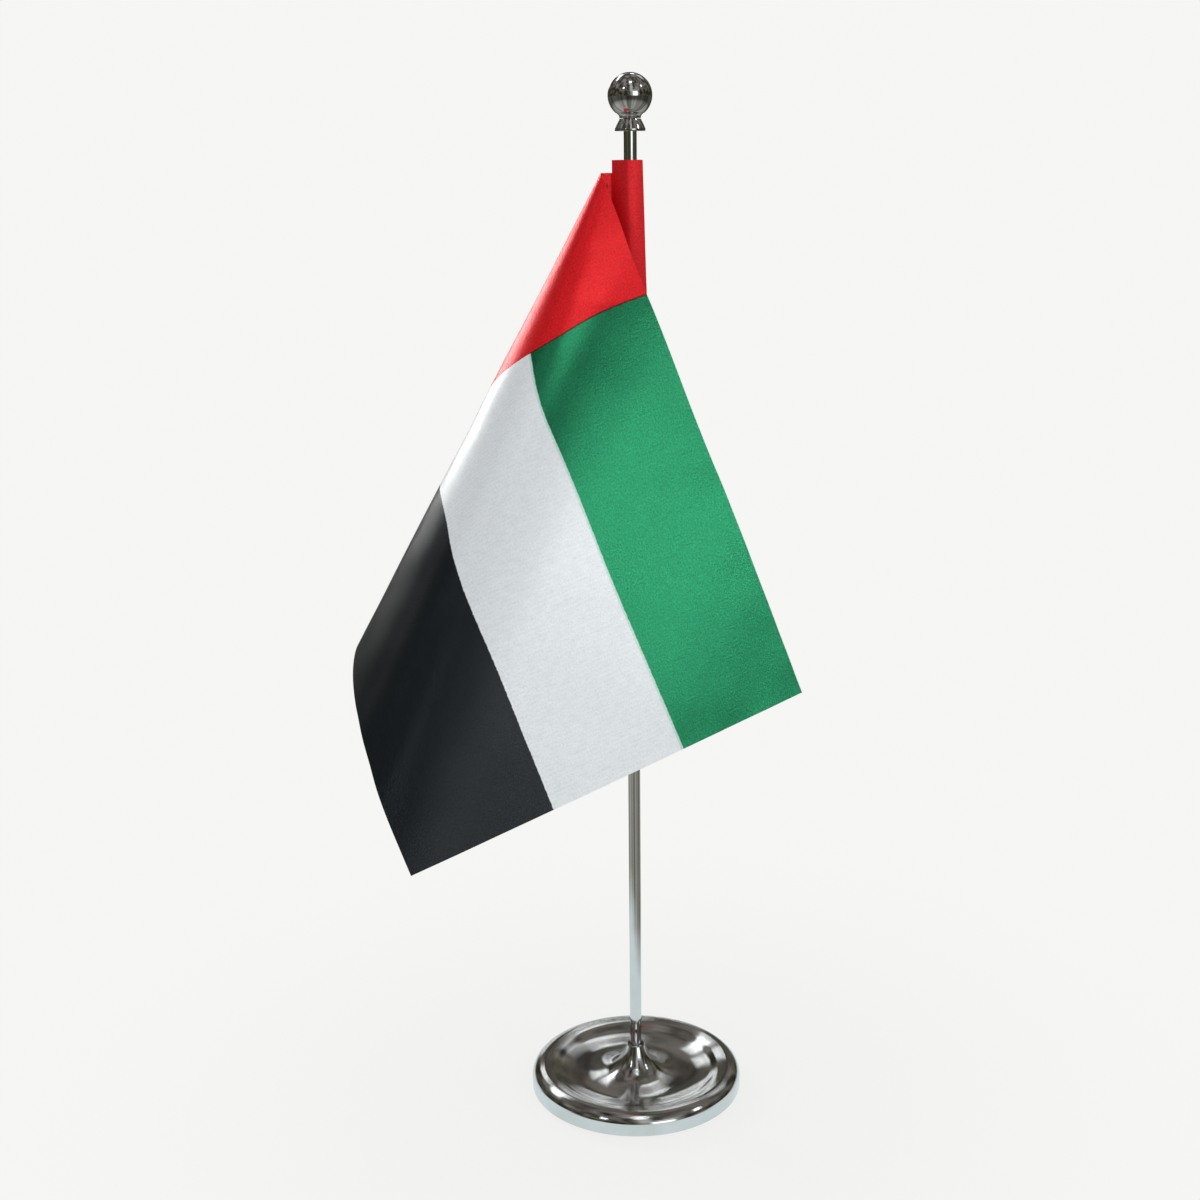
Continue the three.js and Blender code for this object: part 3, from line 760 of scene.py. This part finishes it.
def stitches(name, side, slot, node):
    """One face of the lockstitch: a row of short thread loops that dip into the cloth at both ends."""
    rings, facets = 7, 8
    vertices, faces = [], []
    for stitch in range(int((HOIST - 2 * STITCH_END) / STITCH_PITCH)):
        middle = STITCH_END + (stitch + 0.5) * STITCH_PITCH
        lean = STITCH_LEAN * math.sin(stitch * 2.4)
        first = len(vertices)
        for ring in range(rings):
            t = ring / (rings - 1)
            arch = math.sin(math.pi * t)
            v = middle + (t - 0.5) * STITCH_LENGTH
            lift = side * (CLOTH / 2 + STITCH_RADIUS * (1.6 * arch - 0.5))
            centre = hung(np.array([STITCH_INSET + lean * (t - 0.5)]), np.array([v]), np.array([lift]))[0]
            thick = STITCH_RADIUS * (0.75 + 0.25 * arch)
            for facet in range(facets):
                angle = 2 * math.pi * facet / facets
                vertices.append((centre[0] + thick * math.cos(angle), centre[1] + thick * math.sin(angle),
                                 centre[2]))
        for ring in range(rings - 1):
            for facet in range(facets):
                following = (facet + 1) % facets
                low, high = first + ring * facets, first + (ring + 1) * facets
                faces.append([low + following, low + facet, high + facet, high + following])
        faces.append([first + facet for facet in range(facets)])
        last = first + (rings - 1) * facets
        faces.append([last + facet for facet in reversed(range(facets))])
    piece = new_object(name, vertices, faces, 60.0)
    return dress(piece, "flag", slot, thread_material(slot), node)


# ---- CAD nodes that keep their shape -----------------------------------------------------------
def finish_cad_nodes():
    looks = {
        "base_pad": foam("pad_foam"),
        "base_plate": plain_metal("plate_steel", (158, 160, 162), (138, 141, 143), 0.42, 700.0, 0.00004),
        "base_weight": plain_metal("weight_iron", (78, 76, 74), (52, 50, 49), 0.7, 420.0, 0.0004, 0.85),
        "hub_boss": plain_metal("boss_brass", (196, 158, 92), (168, 128, 66), 0.32, 900.0, 0.00003),
        "boss_screw": plain_metal("screw_steel", (172, 174, 176), (150, 152, 152), 0.38, 900.0, 0.00003),
        "screw_washer": plain_metal("washer_steel", (170, 172, 172), (148, 150, 150), 0.4, 900.0, 0.00003),
        "finial_bush": plain_metal("bush_brass", (198, 160, 94), (170, 130, 68), 0.3, 900.0, 0.00003),
    }
    for node, material in looks.items():
        held = frame["nodes"][node]
        if not held.material_slots:
            held.data.materials.append(material)
        for material_slot in held.material_slots:
            material_slot.material = material


# ---- Stage -------------------------------------------------------------------------------------
PALE = colour(246, 246, 244)
ROOM_LOW = (0.045, 0.044, 0.028, 1.0)  # what the chrome mirrors near the horizon, and higher up
ROOM_HIGH = (0.118, 0.108, 0.098, 1.0)
FLOOR_NEAR = (0.72, 0.82, 0.84, 1.0)   # and of the floor, near the stand and further off
FLOOR_FAR = (0.25, 0.25, 0.225, 1.0)
PALE_MIDDLE = (-0.03, 0.0, 0.0)
FLOOR_RADIUS = 12.0
ROOM_PATCHES = (0.40, 0.64, 0.35, 2.3)     # a noise's range, and the room's brightness over it
ROOM_RISE = (0.15, 0.60)               # sine of the height between the room's low and high colours
FLOOR_STREAKS = (0.35, 0.65, 0.5, 1.7)     # the same for the floor as mirrors see it
FLOOR_DIMMING = (0.45, 1.1, 1.0, 0.22)     # its brightness over a range of distances
PALE_REACH = (0.10, 0.19)              # where the pale middle ends
PALE_RAY = (0.24, 0.32)                # lengths of reflected ray between which it fades
BACKDROP_FADE = (0.05, 0.25, 0.86, 1.0)    # the backdrop's share of the floor over a range of distances
AMBIENT = (0.64, 0.655, 0.66, 1.0)

# Each lamp that the chrome mirrors: degrees to the right of the camera's side, degrees up, half size
# across and up in degrees, and brightness.
LAMPS = [
    (27, 4, 12, 14, 1.6),
    (24, 3, 23, 26, 0.24),
    (8, 50, 6, 30, 0.28),
    (-163, 32, 4, 4, 2.0),
    (172, 45, 4, 3, 3.0),
    (-145, 44, 13, 4, 2.5),
    (148, 42, 9, 6, 0.5),
    (-174, 9, 14, 3, 2.0),
    (4, 66, 5, 4, 4.0),
    (75, 38, 3, 3, 6.0),
    (-38, 34, 3, 3, 6.0),
]
SOFT_EDGE = 0.28                       # of a lamp's half size
LAMP_TINT = (0.93, 0.98, 1.0, 1.0)


def direction(right, up):
    """Unit vector at some degrees to the right of the camera's side, and up."""
    a, e = math.radians(right), math.radians(up)
    return Vector((math.sin(a) * math.cos(e), -math.cos(a) * math.cos(e), math.sin(e)))


def world():
    """Pale to the camera, dim and soft on cloth, and a dark room with lamps in the chrome."""
    made = bpy.data.worlds.new("studio")
    bpy.context.scene.world = made
    made.use_nodes = True
    made.node_tree.nodes.clear()
    n = Tree(made.node_tree)
    ways = n.node("TexCoord").outputs["Generated"]

    def towards_dot(way):
        return n.vector("DOT_PRODUCT", ways, way)

    def lamp(right, up, half_across, half_up, strength):
        towards = direction(right, up)
        across = direction(right + 90, 0)
        shine = n.math("MULTIPLY", n.math("GREATER_THAN", towards_dot(towards), 0.0), strength)
        for axis, half in ((across, half_across), (towards.cross(across), half_up)):
            size = math.sin(math.radians(half))
            inside = n.ranged(n.math("ABSOLUTE", towards_dot(axis)),
                              size * (1 - SOFT_EDGE), size * (1 + SOFT_EDGE), 1.0, 0.0, smooth=True)
            shine = n.math("MULTIPLY", shine, inside)
        return shine

    patches = n.ranged(n.noise(4.2, 6.0, vector=ways), *ROOM_PATCHES, smooth=True)
    rise = n.ranged(towards_dot((0.0, 0.0, 1.0)), *ROOM_RISE, 0.0, 1.0, smooth=True)
    room = n.mix(1.0, n.mix(rise, ROOM_LOW, ROOM_HIGH), patches, "MULTIPLY")
    shining = 0.0
    for placed in LAMPS:
        shining = n.math("ADD", shining, lamp(*placed))
    mirrored = n.node("AddShader")
    n.link(n.glow("Background", room), mirrored.inputs[0])
    n.link(n.glow("Background", LAMP_TINT, shining), mirrored.inputs[1])

    rays = n.node("LightPath").outputs
    shown = n.choose(rays["Is Glossy Ray"], n.glow("Background", AMBIENT), mirrored.outputs[0])
    shown = n.choose(rays["Is Camera Ray"], shown, n.glow("Background", PALE))
    n.link(shown, n.node("OutputWorld").inputs["Surface"])


def floor():
    """A pale sheet that fades into the backdrop. Mirrors see it pale near the stand and dim far off."""
    facets = 96
    ring = [(FLOOR_RADIUS * math.cos(2 * math.pi * k / facets),
             FLOOR_RADIUS * math.sin(2 * math.pi * k / facets), 0.0) for k in range(facets)]
    piece = new_object("floor_sheet", ring, [list(range(facets))])
    n = Nodes("floor_paper")
    n.set(Roughness=0.9, Specular_IOR_Level=0.1, Base_Color=colour(240, 240, 238))
    rays = n.node("LightPath").outputs
    place = n.coordinates.outputs["Object"]
    away = n.vector("LENGTH", place)

    backdrop = n.ranged(away, *BACKDROP_FADE, smooth=True)
    lit = n.choose(backdrop, n.shader.outputs[0], n.glow("Emission", PALE))

    streaks = n.noise(2.4, 2.0, vector=n.vector("NORMALIZE", place))
    bright = n.math("MULTIPLY", n.ranged(streaks, *FLOOR_STREAKS, smooth=True),
                    n.ranged(away, *FLOOR_DIMMING, smooth=True))
    far = n.mix(1.0, FLOOR_FAR, bright, "MULTIPLY")
    off_middle = n.vector("LENGTH", n.vector("SUBTRACT", place, PALE_MIDDLE))
    near = n.math("MULTIPLY", n.ranged(off_middle, *PALE_REACH, 1.0, 0.0, smooth=True),
                  n.ranged(rays["Ray Length"], *PALE_RAY, 1.0, 0.0))
    mirrored = n.glow("Emission", n.mix(near, far, FLOOR_NEAR))

    shown = n.choose(rays["Is Glossy Ray"], lit, mirrored)
    shown = n.choose(rays["Is Diffuse Ray"], shown, n.glow("Emission", AMBIENT))
    n.link(shown, n.tree.nodes["Material Output"].inputs["Surface"])
    piece.data.materials.append(n.material)
    return piece


# Lamps that light the cloth and the floor but not the chrome: degrees to the right of the camera's
# side, degrees up, distance, size, power and tint.
SOFT_BOXES = {
    "sheen_right": (54, 23, 0.6, 0.17, 0.46, (0.97, 1.0, 1.0)),
    "side_right": (85, 5, 1.3, 1.0, 0.8, (1.0, 1.0, 1.0)),
    "sheen_behind": (-140, 18, 1.3, 0.30, 4.2, (1.0, 1.0, 0.98)),
}
LAMP_AIM = Vector((0.01, -0.05, 0.235))


def lights(lit):
    """Area lights round the stand that shine on the given pieces only."""
    receivers = bpy.data.collections.new("lit_by_soft_boxes")
    for piece in lit:
        receivers.objects.link(piece)
    for name, (right, up, distance, size, power, tint) in SOFT_BOXES.items():
        lamp = bpy.data.lights.new(name, "AREA")
        lamp.shape = "DISK"
        lamp.size = size
        lamp.energy = power
        lamp.color = tint
        made = bpy.data.objects.new(name, lamp)
        bpy.context.scene.collection.objects.link(made)
        towards = direction(right, up)
        made.location = LAMP_AIM + towards * distance
        made.rotation_euler = (-towards).to_track_quat("-Z", "Y").to_euler()
        made.light_linking.receiver_collection = receivers


def camera():
    data = bpy.data.cameras.new("camera")
    data.lens = LENS_MM
    data.sensor_width = SENSOR_MM
    data.clip_start, data.clip_end = 0.01, 60.0
    made = bpy.data.objects.new("camera", data)
    bpy.context.scene.collection.objects.link(made)
    level_right = Vector((1.0, 0.0, 0.0))
    level_up = Vector((0.0, math.sin(CAMERA_PITCH), math.cos(CAMERA_PITCH)))
    right = level_right * math.cos(CAMERA_ROLL) - level_up * math.sin(CAMERA_ROLL)
    up = level_right * math.sin(CAMERA_ROLL) + level_up * math.cos(CAMERA_ROLL)
    back = right.cross(up)
    made.matrix_world = Matrix.Translation(CAMERA_PLACE) @ Matrix((right, up, back)).transposed().to_4x4()
    bpy.context.scene.camera = made


camera()
world()
ground = floor()
bpy.context.scene.view_settings.view_transform = "Standard"

base_shell()
pole()
stop_ring()
finial_ball()
finial_collar()
finish_cad_nodes()
sleeve = hoist_sleeve()
flag = flag_cloth()
needle = stitches("needle_stitches", 1.0, "needle_thread", "seam_needle_thread")
bobbin = stitches("bobbin_stitches", -1.0, "bobbin_thread", "seam_bobbin_thread")

lights([flag, sleeve, needle, bobbin, ground])
